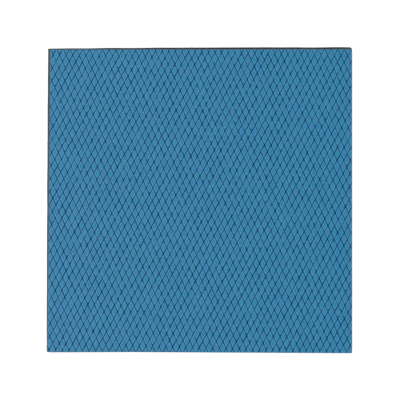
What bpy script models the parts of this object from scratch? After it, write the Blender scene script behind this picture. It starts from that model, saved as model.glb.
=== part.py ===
"""Thermal pad sheet: a soft silicone gap-filler pad under a blue diamond-embossed release liner.

Metres, +Z up. The sheet lies flat, and the origin is the middle of the pad's underside.
+X is the photograph's right, and +Y is the photograph's top.
"""

import bmesh
import bpy

# The sheet as it was cut by hand, measured at the liner: its width along the back side and its
# length along the left side.
SHEET_WIDTH = 0.2288
SHEET_LENGTH = 0.2286
# How far the two other sides are out of square. The back side lies this much further back at
# its right end, and the right side this much further left at its front end.
BACK_SKEW = 0.0005
RIGHT_SKEW = 0.0002

# The pad, and the liner on it. The liner's land is the film between its embossed grooves,
# and the grooves reach down from it to the pad.
PAD_THICKNESS = 0.0040
LINER_GAUGE = 0.00012
GROOVE_DEPTH = 0.0003

# The knife leaned as it cut the left and back sides, so the pad's underside stands out past
# the liner by this much at the two ends of each. The other two sides are upright.
LEAN_LEFT_FRONT = 0.0011
LEAN_LEFT_BACK = 0.0021
LEAN_BACK_LEFT = 0.0013
LEAN_BACK_RIGHT = 0.0020

# The corners: two were cut clean, and two are a little worn.
CLEAN_CORNER_RADIUS = 0.0004
WORN_CORNER_RADIUS = 0.0012
CORNER_STEPS = 4

PAD_COLOUR = (0.060, 0.062, 0.066, 1.0)
LINER_COLOUR = (0.048, 0.216, 0.402, 1.0)

# The liner's sides, placed so that the underside with its leans is centred on the origin.
LEFT = (max(LEAN_LEFT_FRONT, LEAN_LEFT_BACK) - SHEET_WIDTH) / 2
RIGHT = LEFT + SHEET_WIDTH
BACK = (SHEET_LENGTH - max(LEAN_BACK_LEFT, BACK_SKEW + LEAN_BACK_RIGHT)) / 2
FRONT = BACK - SHEET_LENGTH


def clear_scene():
    for old in list(bpy.data.objects):
        bpy.data.objects.remove(old, do_unlink=True)


def finish(name, colour, roughness):
    """A Principled material of one colour."""
    material = bpy.data.materials.new(name)
    material.use_nodes = True
    shader = material.node_tree.nodes["Principled BSDF"]
    shader.inputs["Base Color"].default_value = colour
    shader.inputs["Roughness"].default_value = roughness
    shader.inputs["Metallic"].default_value = 0.0
    return material


def outline(bm, corners, height):
    """One flat face through four corners, from the front left round, with each one rounded."""
    points = [bm.verts.new((x, y, height)) for x, y in corners]
    bm.faces.new(points)
    radii = (WORN_CORNER_RADIUS, CLEAN_CORNER_RADIUS, WORN_CORNER_RADIUS, CLEAN_CORNER_RADIUS)
    for point, radius in zip(points, radii):
        bmesh.ops.bevel(
            bm,
            geom=[point],
            offset=radius,
            offset_type="OFFSET",
            affect="VERTICES",
            segments=CORNER_STEPS,
            profile=0.5,
            material=-1,
        )


def liner_outline(bm, height):
    """The sheet's outline where the knife went in, at the liner."""
    front_right = (RIGHT - RIGHT_SKEW, FRONT)
    back_right = (RIGHT, BACK + BACK_SKEW)
    outline(bm, ((LEFT, FRONT), front_right, back_right, (LEFT, BACK)), height)


def underside_outline(bm):
    """The sheet's outline where the knife came out, at the pad's underside."""
    front_left = (LEFT - LEAN_LEFT_FRONT, FRONT)
    front_right = (RIGHT - RIGHT_SKEW, FRONT)
    back_right = (RIGHT, BACK + BACK_SKEW + LEAN_BACK_RIGHT)
    back_left = (LEFT - LEAN_LEFT_BACK, BACK + LEAN_BACK_LEFT)
    outline(bm, (front_left, front_right, back_right, back_left), 0.0)


def make_node(name, bm, material):
    bmesh.ops.recalc_face_normals(bm, faces=list(bm.faces))
    mesh = bpy.data.meshes.new(name)
    bm.to_mesh(mesh)
    bm.free()
    mesh.materials.append(material)
    node = bpy.data.objects.new(name, mesh)
    bpy.context.scene.collection.objects.link(node)


def silicone_pad():
    """The pad: a soft filled-silicone slab whose walls run from one outline to the other."""
    bm = bmesh.new()
    underside_outline(bm)
    liner_outline(bm, PAD_THICKNESS)
    rims = list(bm.verts)
    bmesh.ops.delete(bm, geom=list(bm.edges), context="EDGES_FACES")
    bmesh.ops.convex_hull(bm, input=rims, use_existing_faces=False)
    make_node("silicone_pad", bm, finish("filled_silicone", PAD_COLOUR, 0.8))


def embossed_liner():
    """The release liner: one thin film, cut in the same stroke as the pad's upper edge."""
    bm = bmesh.new()
    liner_outline(bm, PAD_THICKNESS + GROOVE_DEPTH)
    raised = bmesh.ops.extrude_face_region(bm, geom=list(bm.faces), use_keep_orig=True)
    top = [item for item in raised["geom"] if isinstance(item, bmesh.types.BMVert)]
    bmesh.ops.translate(bm, verts=top, vec=(0.0, 0.0, LINER_GAUGE))
    make_node("embossed_liner", bm, finish("blue_film", LINER_COLOUR, 0.4))


clear_scene()
silicone_pad()
embossed_liner()
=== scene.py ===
"""The looks of a thermal pad sheet: a soft grey silicone pad under its blue embossed release liner.

Metres, +Z up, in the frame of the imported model: the sheet lies flat with its underside at height 0.
"""

import math

import bmesh
import bpy
from mathutils import Matrix, Vector, noise


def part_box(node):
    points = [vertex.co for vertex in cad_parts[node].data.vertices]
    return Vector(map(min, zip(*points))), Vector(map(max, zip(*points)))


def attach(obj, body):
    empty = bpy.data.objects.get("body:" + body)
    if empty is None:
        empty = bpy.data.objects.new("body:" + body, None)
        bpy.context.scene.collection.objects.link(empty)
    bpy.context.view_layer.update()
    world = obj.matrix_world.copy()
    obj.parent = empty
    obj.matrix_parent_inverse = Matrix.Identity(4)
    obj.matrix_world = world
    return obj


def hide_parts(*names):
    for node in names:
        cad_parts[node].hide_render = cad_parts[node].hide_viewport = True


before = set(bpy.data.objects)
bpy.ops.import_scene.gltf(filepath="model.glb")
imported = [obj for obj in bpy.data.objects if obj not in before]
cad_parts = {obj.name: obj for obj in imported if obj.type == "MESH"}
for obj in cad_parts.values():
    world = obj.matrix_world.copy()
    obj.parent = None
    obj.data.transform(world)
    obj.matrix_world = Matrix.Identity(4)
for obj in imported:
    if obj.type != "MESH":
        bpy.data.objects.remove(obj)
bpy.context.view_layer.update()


# Camera. The sheet was photographed from almost straight above with a short telephoto lens,
# standing a little in front of its middle and to the right.
CAMERA_PLACE = (0.02475, -0.05617, 1.13343)
CAMERA_TILT = (math.radians(2.802), math.radians(1.201), math.radians(0.2315))
CAMERA_LENS = 135.0
CAMERA_SENSOR = 36.0

camera = bpy.data.objects.new("camera", bpy.data.cameras.new("camera"))
camera.location = CAMERA_PLACE
camera.rotation_euler = CAMERA_TILT
camera.data.lens = CAMERA_LENS
camera.data.sensor_width = CAMERA_SENSOR
bpy.context.scene.collection.objects.link(camera)
bpy.context.scene.camera = camera
bpy.context.scene.view_settings.view_transform = "Standard"


# Table. A wide matt white light table, whose own glow lifts the shadow round the sheet. It is
# clear from underneath, so that views from below show the sheet's underside.
TABLE_HALF_WIDTH = 2.5
# The table's top lies a hair below the sheet's underside, so that the two don't share a plane.
TABLE_DROP = 0.0002
TABLE_WHITE = (0.88, 0.88, 0.88, 1.0)
TABLE_ROUGHNESS = 0.9
TABLE_GLOW = 0.5


def add_node(tree, kind, inputs, output=0, **options):
    """Adds a shader node, sets its options and sets or links its inputs. Gives one output."""
    node = tree.nodes.new(kind)
    for option, value in options.items():
        setattr(node, option, value)
    for socket, value in inputs.items():
        if isinstance(value, bpy.types.NodeSocket):
            tree.links.new(value, node.inputs[socket])
        else:
            node.inputs[socket].default_value = value
    return node.outputs[output]


table_white = bpy.data.materials.new("table_white")
table_white.use_nodes = True
tree = table_white.node_tree
shader = tree.nodes["Principled BSDF"]
shader.inputs["Base Color"].default_value = TABLE_WHITE
shader.inputs["Roughness"].default_value = TABLE_ROUGHNESS
shader.inputs["Emission Color"].default_value = TABLE_WHITE
shader.inputs["Emission Strength"].default_value = TABLE_GLOW
below = add_node(tree, "ShaderNodeNewGeometry", {}, output="Backfacing")
clear = add_node(tree, "ShaderNodeBsdfTransparent", {})
either = add_node(tree, "ShaderNodeMixShader", {0: below, 1: shader.outputs["BSDF"], 2: clear})
tree.links.new(either, tree.nodes["Material Output"].inputs["Surface"])

table_top = bmesh.new()
bmesh.ops.create_grid(table_top, x_segments=1, y_segments=1, size=TABLE_HALF_WIDTH)
table_mesh = bpy.data.meshes.new("table")
table_top.to_mesh(table_mesh)
table_top.free()
table_mesh.materials.append(table_white)
table = bpy.data.objects.new("table", table_mesh)
table.location.z = -TABLE_DROP
bpy.context.scene.collection.objects.link(table)


# Room. A white wall stands all round the table, a little brighter in front and on the left, under
# a dim ceiling. The flat film mirrors nothing but that ceiling to the camera, and stays deep blue.
ROOM_WHITE = (1.0, 1.0, 1.0, 1.0)
ROOM_LIGHT = 1.86
ROOM_LEAN = (-0.20, -0.40, 0.0)
CEILING_LIGHT = 0.06
# The wall's light turns into the ceiling's between these sines of the elevation.
CEILING_LIMITS = (0.72, 0.86)


def along_direction(tree, place, direction):
    """How far a place lies along a direction."""
    return add_node(
        tree,
        "ShaderNodeVectorMath",
        {0: place, 1: direction},
        output="Value",
        operation="DOT_PRODUCT",
    )


def worked_out(tree, operation, *values):
    """The result of one Math operation on its values."""
    return add_node(tree, "ShaderNodeMath", dict(enumerate(values)), operation=operation)


def share_between(tree, value, limits, least=0.0, most=1.0, **options):
    """Gives the least where a value is at the first limit, and the most at the second."""
    inputs = {"Value": value, "From Min": limits[0], "From Max": limits[1]}
    inputs.update({"To Min": least, "To Max": most})
    return add_node(tree, "ShaderNodeMapRange", inputs, **options)


room = bpy.data.worlds.new("room")
room.use_nodes = True
tree = room.node_tree
way = add_node(tree, "ShaderNodeTexCoord", {}, output="Generated")
height = add_node(tree, "ShaderNodeSeparateXYZ", {"Vector": way}, output="Z")
wall = worked_out(tree, "ADD", along_direction(tree, way, ROOM_LEAN), ROOM_LIGHT)
above = share_between(tree, height, CEILING_LIMITS)
light = add_node(tree, "ShaderNodeMix", {"Factor": above, 2: wall, 3: CEILING_LIGHT})
background = tree.nodes["Background"]
background.inputs["Color"].default_value = ROOM_WHITE
tree.links.new(light, background.inputs["Strength"])
bpy.context.scene.world = room


# Silicone pad. A soft slab of silicone filled with ceramic powder, rolled to its thickness and
# cut to size with a knife, which leaned on two sides and left faint waves and drag lines.
pad_low, pad_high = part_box("silicone_pad")
liner_low, liner_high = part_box("embossed_liner")
PAD_THICKNESS = pad_high.z
# The back and right sides are this much out of square along the liner.
BACK_SKEW = 0.0005
RIGHT_SKEW = 0.0002
# How far the underside stands out past the liner at the two ends of the left and back sides.
LEAN_LEFT_FRONT = 0.0011
LEAN_LEFT_BACK = liner_low.x - pad_low.x
LEAN_BACK_LEFT = 0.0013
LEAN_BACK_RIGHT = pad_high.y - liner_high.y
# The knife bent outwards along both sides, by this much more halfway.
LEFT_BOW = 0.00018
BACK_BOW = 0.00032
CLEAN_CORNER_RADIUS = 0.0004
WORN_CORNER_RADIUS = 0.0012
CORNER_STEPS = 5
# At the front side's left end the cut ran this much further out, fading over these distances.
FRONT_RUN = 0.00056
FRONT_RUN_LENGTH = 0.065
FRONT_RUN_DEPTH = 0.006
WALL_STEP = 0.0012
# Heights of the wall's rows as shares of the thickness, and how far each is drawn in at its rim.
WALL_ROWS = (
    (0.00, -0.00008),
    (0.035, -0.00011),
    (0.12, -0.00009),
    (0.31, -0.00005),
    (0.50, -0.00002),
    (0.69, 0.0),
    (0.88, 0.0),
    (0.965, 0.00005),
    (1.00, 0.00014),
)
# Waves along the walls, and the knife's finer drag lines, drawn out up the wall: the wall's
# whole height crosses only this much of them.
WAVE_LENGTH = 0.019
WAVE_DEPTH = 0.00016
DRAG_LENGTH = 0.0016
DRAG_DEPTH = 0.00006
DRAG_HEIGHT = 0.002
PAD_SHARP = math.radians(50)


def sheet_outline():
    """One flat face in the sheet's outline where the knife went in, with its corners rounded."""
    flat = bmesh.new()
    bmesh.ops.create_grid(flat, x_segments=1, y_segments=1, size=0.5)
    corners = sorted(flat.verts, key=lambda v: math.atan2(v.co.y, v.co.x))
    front_left, front_right, back_right, back_left = corners
    front_left.co.xy = liner_low.x, liner_low.y
    front_right.co.xy = liner_high.x - RIGHT_SKEW, liner_low.y
    back_right.co.xy = liner_high.x, liner_high.y
    back_left.co.xy = liner_low.x, liner_high.y - BACK_SKEW
    radii = (WORN_CORNER_RADIUS, CLEAN_CORNER_RADIUS, WORN_CORNER_RADIUS, CLEAN_CORNER_RADIUS)
    for corner, radius in zip(corners, radii):
        bmesh.ops.bevel(
            flat,
            geom=[corner],
            offset=radius,
            offset_type="OFFSET",
            affect="VERTICES",
            segments=CORNER_STEPS,
            profile=0.5,
            material=-1,
        )
    return flat


def finished_piece(name, bm, material, sharp_angle):
    """Makes a bmesh a smooth-shaded object with its sharp edges kept."""
    mesh = bpy.data.meshes.new(name)
    bm.to_mesh(mesh)
    bm.free()
    mesh.materials.append(material)
    mesh.shade_smooth()
    mesh.set_sharp_from_angle(angle=sharp_angle)
    piece = bpy.data.objects.new(name, mesh)
    bpy.context.scene.collection.objects.link(piece)
    return piece


def knife_lean(x, y):
    """How far the underside stands out past the liner, for a point of the liner's outline."""
    across = (x - liner_low.x) / (liner_high.x - liner_low.x)
    along = (y - liner_low.y) / (liner_high.y - liner_low.y)
    left = LEAN_LEFT_FRONT + (LEAN_LEFT_BACK - LEAN_LEFT_FRONT) * along
    left += LEFT_BOW * math.sin(math.pi * along)
    back = LEAN_BACK_LEFT + (LEAN_BACK_RIGHT - LEAN_BACK_LEFT) * across
    back += BACK_BOW * math.sin(math.pi * across)
    return Vector((-left * (1.0 - across), back * along, 0.0))


def knife_run(place):
    """How far the cut ran out forwards, for a point near the front side."""
    near_end = max(0.0, 1.0 - (place.x - liner_low.x) / FRONT_RUN_LENGTH)
    near_front = max(0.0, 1.0 - (place.y - liner_low.y) / FRONT_RUN_DEPTH)
    return Vector((0.0, -FRONT_RUN * near_end * near_front, 0.0))


pad = sheet_outline()
liner_size = liner_high - liner_low
liner_middle = (liner_high + liner_low) / 2
for side in [edge for edge in pad.edges if edge.calc_length() > liner_size.x / 2]:
    bmesh.ops.subdivide_edges(pad, edges=[side], cuts=round(side.calc_length() / WALL_STEP))
rings = [pad.verts[:]]
upper_face = pad.faces[:]
for row in WALL_ROWS[1:]:
    raised = bmesh.ops.extrude_face_region(pad, geom=upper_face, use_keep_orig=True)
    # The first face stays as the pad's underside, and the faces inside the slab go.
    if row is not WALL_ROWS[1]:
        bmesh.ops.delete(pad, geom=upper_face, context="FACES_ONLY")
    upper_face = [item for item in raised["geom"] if isinstance(item, bmesh.types.BMFace)]
    rings.append([item for item in raised["geom"] if isinstance(item, bmesh.types.BMVert)])
for ring, (share, drawn_in) in zip(rings, WALL_ROWS):
    for vertex in ring:
        place = vertex.co.copy()
        out = Vector((place.x - liner_middle.x, place.y - liner_middle.y, 0.0))
        near_x = liner_size.x / 2 - abs(out.x) < WORN_CORNER_RADIUS
        near_y = liner_size.y / 2 - abs(out.y) < WORN_CORNER_RADIUS
        out = Vector((math.copysign(near_x, out.x), math.copysign(near_y, out.y), 0.0))
        out.normalize()
        wave = noise.noise(place / WAVE_LENGTH) * WAVE_DEPTH * (1.0 - share)
        drag_place = Vector((place.x, place.y, share * DRAG_HEIGHT))
        drag = noise.noise(drag_place / DRAG_LENGTH) * DRAG_DEPTH
        place += knife_run(place) + knife_lean(place.x, place.y) * (1.0 - share)
        place += out * (wave + drag - drawn_in)
        place.z = PAD_THICKNESS * share
        vertex.co = place
bmesh.ops.recalc_face_normals(pad, faces=pad.faces)

FILLER_GREY = (0.016, 0.018, 0.021, 1.0)
FILLER_PALE = (0.078, 0.077, 0.077, 1.0)
FILLER_ROUGHNESS = 0.85
FILLER_GLOSS = 0.05
# Pale grains of powder and softer clouds of it: their sizes, the noise at which they start and
# are full, and how pale they get.
GRAIN_SIZE = 0.00035
GRAIN_DETAIL = 3.0
GRAIN_LIMITS = (0.52, 0.72)
GRAIN_SHARE = 0.6
CLOUD_SIZE = 0.011
CLOUD_LIMITS = (0.3, 0.7)
CLOUD_SHARE = 0.25
# The left wall is painted paler, as painted light for the light that falls on it from the left.
# The paling is gone at the first of these distances from the liner's left side, and fullest at the
# second.
LEFT_LIGHT_FADE = (0.004, 0.001)
LEFT_LIGHT_SHARE = 0.45
GRAIN_BUMP = 0.35
GRAIN_DEPTH = 0.00008


def new_material(name, roughness, gloss):
    """A material with its node tree, its Principled shader and the piece's own coordinates."""
    material = bpy.data.materials.new(name)
    material.use_nodes = True
    tree = material.node_tree
    shader = tree.nodes["Principled BSDF"]
    shader.inputs["Roughness"].default_value = roughness
    shader.inputs["Specular IOR Level"].default_value = gloss
    return material, tree, shader, add_node(tree, "ShaderNodeTexCoord", {}, output="Object")


def blended(tree, share, first, second, **options):
    """A colour between two, by a share of the second."""
    return add_node(
        tree,
        "ShaderNodeMix",
        {"Factor": share, 6: first, 7: second},
        output=2,
        data_type="RGBA",
        **options,
    )


def finely_bumped(tree, shader, height, strength, depth):
    """Lets a fine relief of this height show in a shader's gloss."""
    relief = {"Height": height, "Strength": strength, "Distance": depth}
    tree.links.new(add_node(tree, "ShaderNodeBump", relief), shader.inputs["Normal"])


silicone, tree, shader, place = new_material("filled_silicone", FILLER_ROUGHNESS, FILLER_GLOSS)
grain = add_node(
    tree,
    "ShaderNodeTexNoise",
    {"Vector": place, "Scale": 1 / GRAIN_SIZE, "Detail": GRAIN_DETAIL},
)
cloud = add_node(tree, "ShaderNodeTexNoise", {"Vector": place, "Scale": 1 / CLOUD_SIZE})
from_left = add_node(tree, "ShaderNodeSeparateXYZ", {"Vector": place}, output="X")
left_light_limits = [liner_low.x + distance for distance in LEFT_LIGHT_FADE]
pale_grains = share_between(tree, grain, GRAIN_LIMITS, most=GRAIN_SHARE)
pale_clouds = share_between(tree, cloud, CLOUD_LIMITS, most=CLOUD_SHARE)
# Painted light: a paler band along the left wall, for the light that falls on it from the left.
painted_left_light = share_between(tree, from_left, left_light_limits, most=LEFT_LIGHT_SHARE)
powder = worked_out(tree, "ADD", pale_grains, pale_clouds)
pale_share = worked_out(tree, "ADD", powder, painted_left_light)
grey = blended(tree, pale_share, FILLER_GREY, FILLER_PALE)
tree.links.new(grey, shader.inputs["Base Color"])
finely_bumped(tree, shader, grain, GRAIN_BUMP, GRAIN_DEPTH)
pad_piece = finished_piece("cut_silicone_pad", pad, silicone, PAD_SHARP)
# The two flat faces stay flat up to their rims.
for face in pad_piece.data.polygons:
    face.use_smooth = face.area < liner_size.x * liner_size.y / 2
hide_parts("silicone_pad")
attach(pad_piece, "root")


# Embossed liner. A thin blue polyethylene film that peels off before use. An embossing roll
# pressed a net of grooves into it, which touch the pad and leave the diamonds between them proud.
EMBOSS_ACROSS = 0.005014
EMBOSS_ALONG = 0.009912
ACROSS_TURN = math.radians(-1.429)
ALONG_TURN = math.radians(2.191)
# The grooves cross this far to the left of the sheet's middle and in front of it.
CROSSING_LEFT = 0.001099
CROSSING_FRONT = 0.001723
CROSSING = Vector((liner_middle.x - CROSSING_LEFT, liner_middle.y - CROSSING_FRONT))
LINER_GAUGE = liner_high.z - liner_low.z
# The film's lower face stays this much clear of the pad in its grooves.
GROOVE_GAP = 0.00001
GROOVE_FLOOR = PAD_THICKNESS + LINER_GAUGE + GROOVE_GAP
# Distances from a groove's middle, in shares of the groove spacing, and the film's rise there:
# the edge of the groove's flat floor, the shoulder of the diamond, and the diamond's middle.
FLOOR_EDGE = (0.11, 0.0)
DIAMOND_SHOULDER = (0.26, 0.92)
DIAMOND_MIDDLE = (0.5, 1.0)
# The lines of one diamond along either lattice direction.
PROFILE = (
    FLOOR_EDGE,
    DIAMOND_SHOULDER,
    DIAMOND_MIDDLE,
    (1.0 - DIAMOND_SHOULDER[0], DIAMOND_SHOULDER[1]),
    (1.0 - FLOOR_EDGE[0], FLOOR_EDGE[1]),
)
STEPS = len(PROFILE)
FILM_SHARP = math.radians(60)

across = Vector((math.cos(ACROSS_TURN), math.sin(ACROSS_TURN))) * EMBOSS_ACROSS
along = Vector((math.sin(ALONG_TURN), math.cos(ALONG_TURN))) * EMBOSS_ALONG
falling = (across - along) / 2
rising = (across + along) / 2
to_sheet = Matrix(((falling.x, rising.x), (falling.y, rising.y)))
to_lattice = to_sheet.inverted()


def sheet_place(vertex):
    """Moves a grid point from whole steps to its place on the sheet."""
    diamond_x, step_x = divmod(round(vertex.co.x), STEPS)
    diamond_y, step_y = divmod(round(vertex.co.y), STEPS)
    lattice = Vector((diamond_x + PROFILE[step_x][0], diamond_y + PROFILE[step_y][0]))
    return CROSSING + to_sheet @ lattice


def film_rise(place):
    """The film's rise above the groove's floor, at a place counted in groove spacings."""
    distance = abs(place - round(place))
    if distance <= FLOOR_EDGE[0]:
        return FLOOR_EDGE[1]
    for (near, low), (far, high) in zip(PROFILE, PROFILE[1:3]):
        if distance <= far:
            return low + (high - low) * (distance - near) / (far - near)
    return DIAMOND_MIDDLE[1]


reach = 0
for x in (liner_low.x, liner_high.x):
    for y in (liner_low.y, liner_high.y):
        corner = to_lattice @ (Vector((x, y)) - CROSSING)
        reach = max(reach, math.ceil(abs(corner.x)), math.ceil(abs(corner.y)))
film = bmesh.new()
bmesh.ops.create_grid(
    film,
    x_segments=2 * reach * STEPS,
    y_segments=2 * reach * STEPS,
    size=reach * STEPS,
)
margin = EMBOSS_ALONG
outside = []
for vertex in film.verts:
    vertex.co.xy = sheet_place(vertex)
    inside_x = liner_low.x - margin < vertex.co.x < liner_high.x + margin
    inside_y = liner_low.y - margin < vertex.co.y < liner_high.y + margin
    if not (inside_x and inside_y):
        outside.append(vertex)
bmesh.ops.delete(film, geom=outside, context="VERTS")

# The knife cut the film along the same outline as the pad, and pressed its edge down a little.
EDGE_WIDTH = 0.0009
EDGE_PRESS = 0.7
# A cut runs through the points of the net that lie this close to it.
CUT_REACH = 1e-7
# Edges shorter than this are closed up after the cuts.
SLIVER = 0.000005


def cut_film(place, outwards, trim):
    """Cuts the film along an upright plane, and trims it off outside the plane if told so."""
    bmesh.ops.bisect_plane(
        film,
        geom=film.verts[:] + film.edges[:] + film.faces[:],
        dist=CUT_REACH,
        plane_co=place,
        plane_no=outwards,
        clear_outer=trim,
    )


outline = sheet_outline()
cuts = []
for edge in outline.edges:
    start, end = [vertex.co.copy() for vertex in edge.verts]
    outwards = (end - start).cross(Vector((0.0, 0.0, 1.0))).normalized()
    if outwards.dot(start - liner_middle) < 0:
        outwards.negate()
    cuts.append((start, outwards, edge.calc_length()))
    cut_film(start, outwards, True)
    if edge.calc_length() > EMBOSS_ALONG:
        cut_film(start - outwards * EDGE_WIDTH, outwards, False)
outline.free()
bmesh.ops.dissolve_degenerate(film, dist=SLIVER, edges=film.edges)


def edge_share(place):
    """How far a point is pressed down with the film's cut edge, from 0 inside to 1 on the edge."""
    inside = min((start - place).dot(outwards) for start, outwards, length in cuts)
    return max(0.0, 1.0 - inside / EDGE_WIDTH)


land_rise = liner_high.z - GROOVE_FLOOR
for vertex in film.verts:
    lattice = to_lattice @ (vertex.co.xy - CROSSING)
    rise = land_rise * film_rise(lattice.x) * film_rise(lattice.y)
    rise *= 1.0 - EDGE_PRESS * edge_share(vertex.co)
    vertex.co.z = GROOVE_FLOOR + rise
raised = bmesh.ops.extrude_face_region(film, geom=film.faces[:], use_keep_orig=True)
under = {item for item in raised["geom"] if isinstance(item, bmesh.types.BMVert)}
bmesh.ops.translate(film, verts=list(under), vec=(0.0, 0.0, -LINER_GAUGE))
for vertex in film.verts:
    vertex.co += knife_run(vertex.co)

# The film's lower face is hidden on the pad, and goes without the lines of the diamonds' middles.
# They are found by their place and their direction, both in shares of the groove spacing, and
# the upright cut faces, whose normals rise less than this, keep theirs.
MIDDLE_WITHIN = 0.01
STRAIGHT_WITHIN = 1e-4
UPRIGHT_RISE = 0.1
middle_lines = []
for edge in film.edges:
    upright = any(abs(face.normal.z) < UPRIGHT_RISE for face in edge.link_faces)
    if upright or under.isdisjoint(edge.verts):
        continue
    first, second = [to_lattice @ (vertex.co.xy - CROSSING) for vertex in edge.verts]
    for axis in range(2):
        place = (first[axis] + second[axis]) / 2 % 1.0
        straight = abs(first[axis] - second[axis]) < STRAIGHT_WITHIN
        if straight and abs(place - DIAMOND_MIDDLE[0]) < MIDDLE_WITHIN:
            middle_lines.append(edge)
            break
bmesh.ops.dissolve_edges(film, edges=middle_lines, use_verts=True)
bmesh.ops.recalc_face_normals(film, faces=film.faces)

DIAMOND_TEAL = (0.022, 0.208, 0.308, 1.0)
DIAMOND_ROYAL = (0.027, 0.177, 0.386, 1.0)
DIAMOND_DUSTY = (0.052, 0.196, 0.326, 1.0)
DIAMOND_DEEP = (0.016, 0.150, 0.272, 1.0)
SHOULDER_GLINT = (0.058, 0.214, 0.362, 1.0)
GROOVE_TEAL = (0.0, 0.056, 0.104, 1.0)
GROOVE_VIOLET = (0.002, 0.038, 0.148, 1.0)
CROSSING_NAVY = (0.0, 0.022, 0.050, 1.0)
CROSSING_VIOLET = (0.028, 0.025, 0.126, 1.0)
# Distances from a groove's middle, in shares of the groove spacing. The film is in full contact
# with the pad up to the first, which darkens it, and clear of it from the second.
CONTACT = (0.060, 0.088)
# The falling grooves' dark contact is drawn a little wider than the rising ones'.
FALLING_WIDTH = 1.06
RISING_WIDTH = 0.94
# How far the contact's edge wanders, and the size of the patches in which it and the hues change.
WANDER = 0.06
PATCH_SIZE = 0.0026
PATCH_DETAIL = 1.0
# The patches' noise from one end to the other of the wander and of the two changes of hue.
WANDER_LIMITS = (0.3, 0.7)
GROOVE_LIMITS = (0.35, 0.65)
VIOLET_LIMITS = (0.48, 0.64)
# A painted highlight on the shoulder round each diamond, for the glint of its slopes, is palest at
# the first and gone at the second.
SHOULDER_GLINT_REACH = (0.19, 0.33)
# The most that a diamond's own tint has of dusty and of deeper film.
DUSTY_SHARE = 0.6
DEEP_SHARE = 0.4
# How far the meeting grooves round the diamonds' corners off, and how far a crossing reaches.
CORNER_BLEND = 0.09
CROSSING_REACH = (0.0, 0.20)
# Painted light: the film's colours are raised towards its left side and lowered towards its right, by
# these gains, for light that falls stronger and warmer from the left.
LEFT_LIGHT_GAIN = (1.13, 1.055, 1.05, 1.0)
RIGHT_LIGHT_GAIN = (0.83, 0.985, 1.0, 1.0)
# The film is painted greyer along its cut rims, by this share, and its own colour again at this
# distance from the cut.
RIM_GREY = (0.095, 0.170, 0.230, 1.0)
RIM_SHARE = 0.6
RIM_WIDTH = 0.0009
# Farther from the cuts than any point of the film.
FAR_INSIDE = 1.0
FILM_ROUGHNESS = 0.30
FILM_GLOSS = 0.12
FILM_GRAIN = 0.00028
FILM_BUMP = 0.2
FILM_DEPTH = 0.00003


def fading(tree, value, limits):
    """A mask that is 1 at the first limit, 0 at the second and smooth between them."""
    near, far = limits
    return share_between(tree, value, (far, near), interpolation_type="SMOOTHSTEP")


blue_film, tree, shader, place = new_material("blue_film", FILM_ROUGHNESS, FILM_GLOSS)
numbers = []
distances = []
for row in to_lattice:
    along_row = along_direction(tree, place, (row[0], row[1], 0.0))
    step = worked_out(tree, "SUBTRACT", along_row, row.dot(CROSSING))
    numbers.append(worked_out(tree, "FLOOR", step))
    distances.append(worked_out(tree, "PINGPONG", step, DIAMOND_MIDDLE[0]))
nearest = worked_out(tree, "SMOOTH_MIN", *distances, CORNER_BLEND)
farther = worked_out(tree, "MAXIMUM", *distances)
falling_reach = worked_out(tree, "DIVIDE", distances[0], FALLING_WIDTH)
rising_reach = worked_out(tree, "DIVIDE", distances[1], RISING_WIDTH)
touching = worked_out(tree, "SMOOTH_MIN", falling_reach, rising_reach, CORNER_BLEND)
patch = add_node(
    tree,
    "ShaderNodeTexNoise",
    {"Vector": place, "Scale": 1 / PATCH_SIZE, "Detail": PATCH_DETAIL},
    output="Color",
)
patches = add_node(tree, "ShaderNodeSeparateXYZ", {"Vector": patch}).node.outputs
wander = share_between(tree, patches["X"], WANDER_LIMITS, -WANDER / 2, WANDER / 2)
groove_hue = share_between(tree, patches["Y"], GROOVE_LIMITS)
violet = share_between(tree, patches["Z"], VIOLET_LIMITS)
contact = fading(tree, worked_out(tree, "ADD", touching, wander), CONTACT)
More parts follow.
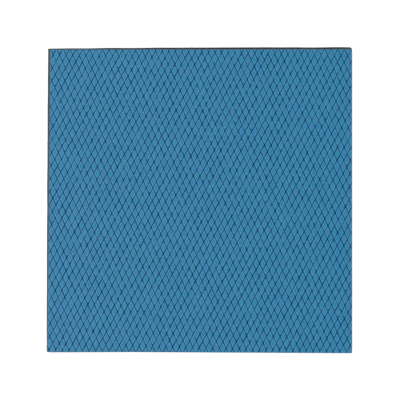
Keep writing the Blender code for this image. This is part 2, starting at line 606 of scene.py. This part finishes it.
# Painted highlight: a pale rim round each diamond, for the glint on its sloping shoulders.
shoulder_glint = fading(tree, nearest, SHOULDER_GLINT_REACH)
crossing = fading(tree, farther, CROSSING_REACH)
number = add_node(tree, "ShaderNodeCombineXYZ", {"X": numbers[0], "Y": numbers[1]})
chance = add_node(tree, "ShaderNodeTexWhiteNoise", {"Vector": number}, output="Color")
chances = add_node(tree, "ShaderNodeSeparateXYZ", {"Vector": chance}).node.outputs
dusty = worked_out(tree, "MULTIPLY", chances["Y"], DUSTY_SHARE)
deep = worked_out(tree, "MULTIPLY", chances["Z"], DEEP_SHARE)
clear_blue = blended(tree, chances["X"], DIAMOND_TEAL, DIAMOND_ROYAL)
dusty_blue = blended(tree, dusty, clear_blue, DIAMOND_DUSTY)
diamond = blended(tree, deep, dusty_blue, DIAMOND_DEEP)
raised_film_with_glint = blended(tree, shoulder_glint, diamond, SHOULDER_GLINT)
groove = blended(tree, groove_hue, GROOVE_TEAL, GROOVE_VIOLET)
deep_groove = blended(tree, violet, CROSSING_NAVY, CROSSING_VIOLET)
pressed_film = blended(tree, crossing, groove, deep_groove)
clean_film = blended(tree, contact, raised_film_with_glint, pressed_film)
from_left = add_node(tree, "ShaderNodeSeparateXYZ", {"Vector": place}, output="X")
# Painted light: the film is brighter and warmer towards its left side.
light_drift = share_between(tree, from_left, (liner_low.x, liner_high.x))
painted_light_gain = blended(tree, light_drift, LEFT_LIGHT_GAIN, RIGHT_LIGHT_GAIN)
film_with_painted_light = blended(tree, 1.0, clean_film, painted_light_gain, blend_type="MULTIPLY")
nearest_cut = FAR_INSIDE
for start, outwards, length in cuts:
    if length > EMBOSS_ALONG:
        out_there = along_direction(tree, place, outwards)
        inside = worked_out(tree, "SUBTRACT", start.dot(outwards), out_there)
        nearest_cut = worked_out(tree, "MINIMUM", nearest_cut, inside)
rim_greying = worked_out(tree, "MULTIPLY", fading(tree, nearest_cut, (0.0, RIM_WIDTH)), RIM_SHARE)
film_colour = blended(tree, rim_greying, film_with_painted_light, RIM_GREY)
tree.links.new(film_colour, shader.inputs["Base Color"])
grain = add_node(tree, "ShaderNodeTexNoise", {"Vector": place, "Scale": 1 / FILM_GRAIN})
finely_bumped(tree, shader, grain, FILM_BUMP, FILM_DEPTH)
liner_piece = finished_piece("embossed_film", film, blue_film, FILM_SHARP)
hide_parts("embossed_liner")
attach(liner_piece, "root")
